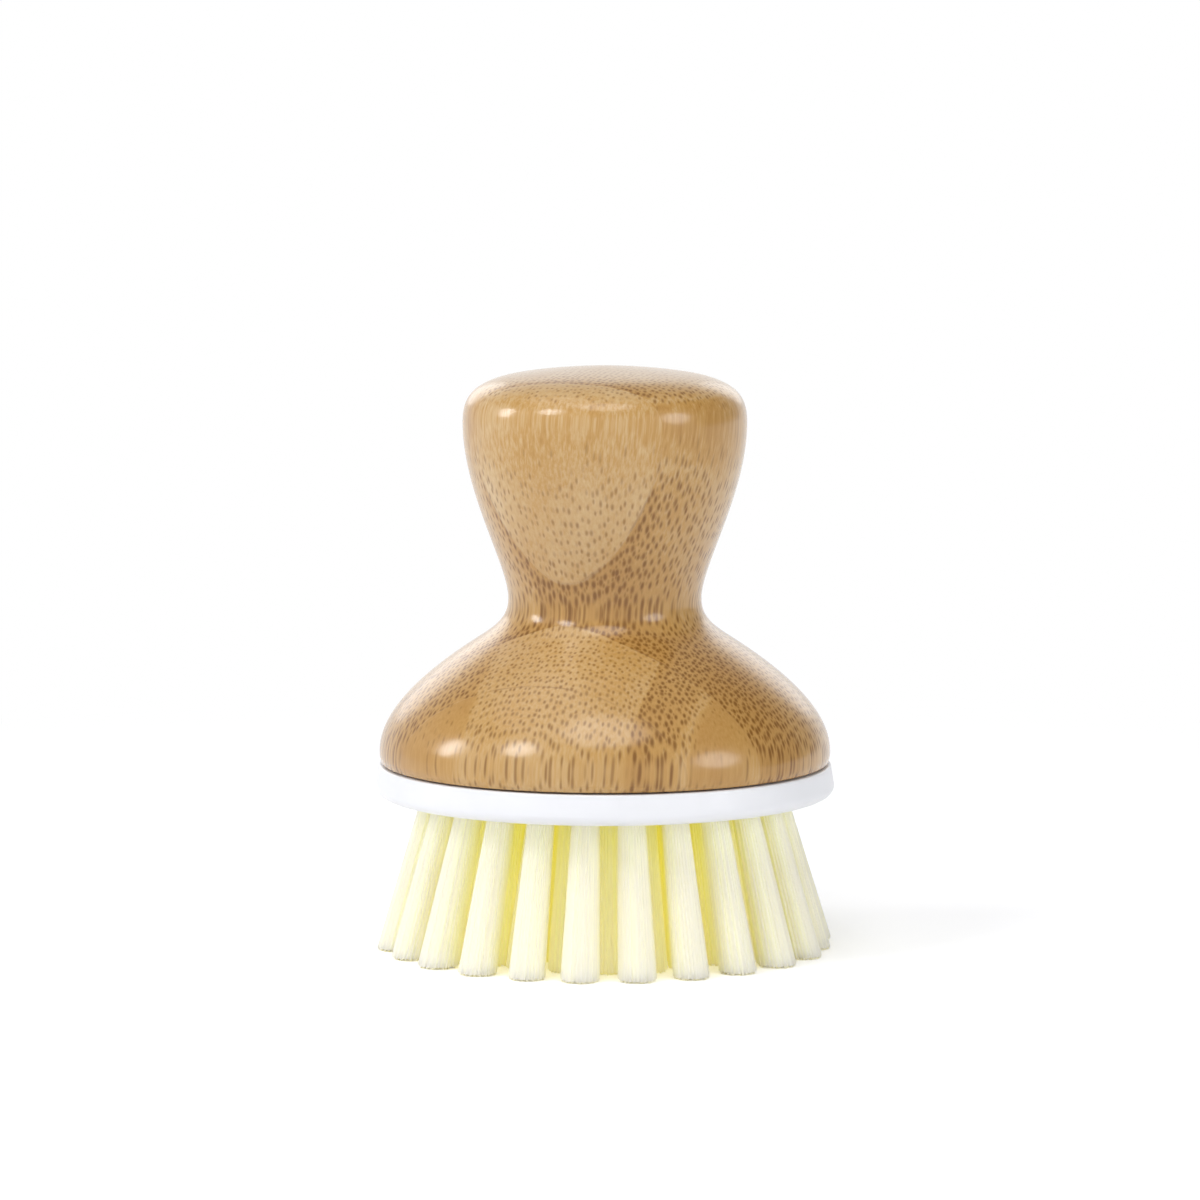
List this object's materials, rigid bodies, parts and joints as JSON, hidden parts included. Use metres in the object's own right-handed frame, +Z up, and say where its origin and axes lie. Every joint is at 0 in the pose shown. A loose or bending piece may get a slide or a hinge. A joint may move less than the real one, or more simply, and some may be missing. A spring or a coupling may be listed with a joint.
{
  "type": "dish brush",
  "caption": "Palm dish brush: a turned laminated-bamboo knob handle that screws onto a round white plate carrying splayed tufts of pale bristles.",
  "frame": {"origin": "on the brush axis, in the plane of the trimmed bristle tips that the brush stands on", "axes": "+Z up along the brush axis from the bristle tips to the knob's crown; the handle's glue planes face +Y and -Y; one tuft of the outer row lies on +X"},
  "size_m": [0.0752, 0.0752, 0.0953],
  "materials": {
    "bamboo": "gloss lacquered bamboo",
    "white_plastic": "semi-gloss moulded",
    "socket_plastic": "moulded",
    "seal_rubber": "soft matt",
    "bristle_nylon": "pale translucent filament",
    "anchor_metal": "plain wire"
  },
  "bodies": {
    "brush_head": {"brush_plate": "white_plastic", "bristles_outer": "bristle_nylon", "bristles_middle": "bristle_nylon", "bristles_inner": "bristle_nylon", "bristles_centre": "bristle_nylon", "anchor_outer_01": "anchor_metal", "anchor_outer_02": "anchor_metal", "anchor_outer_03": "anchor_metal", "anchor_outer_04": "anchor_metal", "anchor_outer_05": "anchor_metal", "anchor_outer_06": "anchor_metal", "anchor_outer_07": "anchor_metal", "anchor_outer_08": "anchor_metal", "anchor_outer_09": "anchor_metal", "anchor_outer_10": "anchor_metal", "anchor_outer_11": "anchor_metal", "anchor_outer_12": "anchor_metal", "anchor_outer_13": "anchor_metal", "anchor_outer_14": "anchor_metal", "anchor_outer_15": "anchor_metal", "anchor_outer_16": "anchor_metal", "anchor_outer_17": "anchor_metal", "anchor_outer_18": "anchor_metal", "anchor_outer_19": "anchor_metal", "anchor_outer_20": "anchor_metal", "anchor_outer_21": "anchor_metal", "anchor_outer_22": "anchor_metal", "anchor_outer_23": "anchor_metal", "anchor_outer_24": "anchor_metal", "anchor_wire_middle": "anchor_metal", "anchor_inner_01": "anchor_metal", "anchor_inner_02": "anchor_metal", "anchor_inner_03": "anchor_metal", "anchor_inner_04": "anchor_metal", "anchor_inner_05": "anchor_metal", "anchor_inner_06": "anchor_metal", "anchor_inner_07": "anchor_metal", "anchor_inner_08": "anchor_metal", "anchor_inner_09": "anchor_metal", "anchor_inner_10": "anchor_metal", "anchor_inner_11": "anchor_metal", "anchor_inner_12": "anchor_metal", "anchor_centre_01": "anchor_metal", "anchor_centre_02": "anchor_metal", "anchor_centre_03": "anchor_metal", "anchor_centre_04": "anchor_metal", "anchor_centre_05": "anchor_metal", "anchor_centre_06": "anchor_metal"},
    "seal": {"sealing_washer": "seal_rubber"},
    "handle": {"lamination_front_outer": "bamboo", "lamination_front_dome": "bamboo", "lamination_front_knob": "bamboo", "lamination_front_inner": "bamboo", "lamination_middle": "bamboo", "lamination_rear_inner": "bamboo", "lamination_rear_knob": "bamboo", "lamination_rear_dome": "bamboo", "lamination_rear_outer": "bamboo", "handle_socket": "socket_plastic"}
  },
  "joints": [
    {"name": "handle_turn", "type": "hinge", "parent": "brush_head", "child": "seal", "pos_m": [0, 0, 0.0305], "axis": [0, 0, 1], "range_deg": [0, 900]},
    {"name": "handle_lift", "type": "slide", "parent": "seal", "child": "handle", "axis": [0, 0, 1], "range_m": [0, 0.01]}
  ],
  "couplings": [
    {"joint": "handle_lift", "follows": "handle_turn", "m_per_rad": 0.0006366}
  ]
}
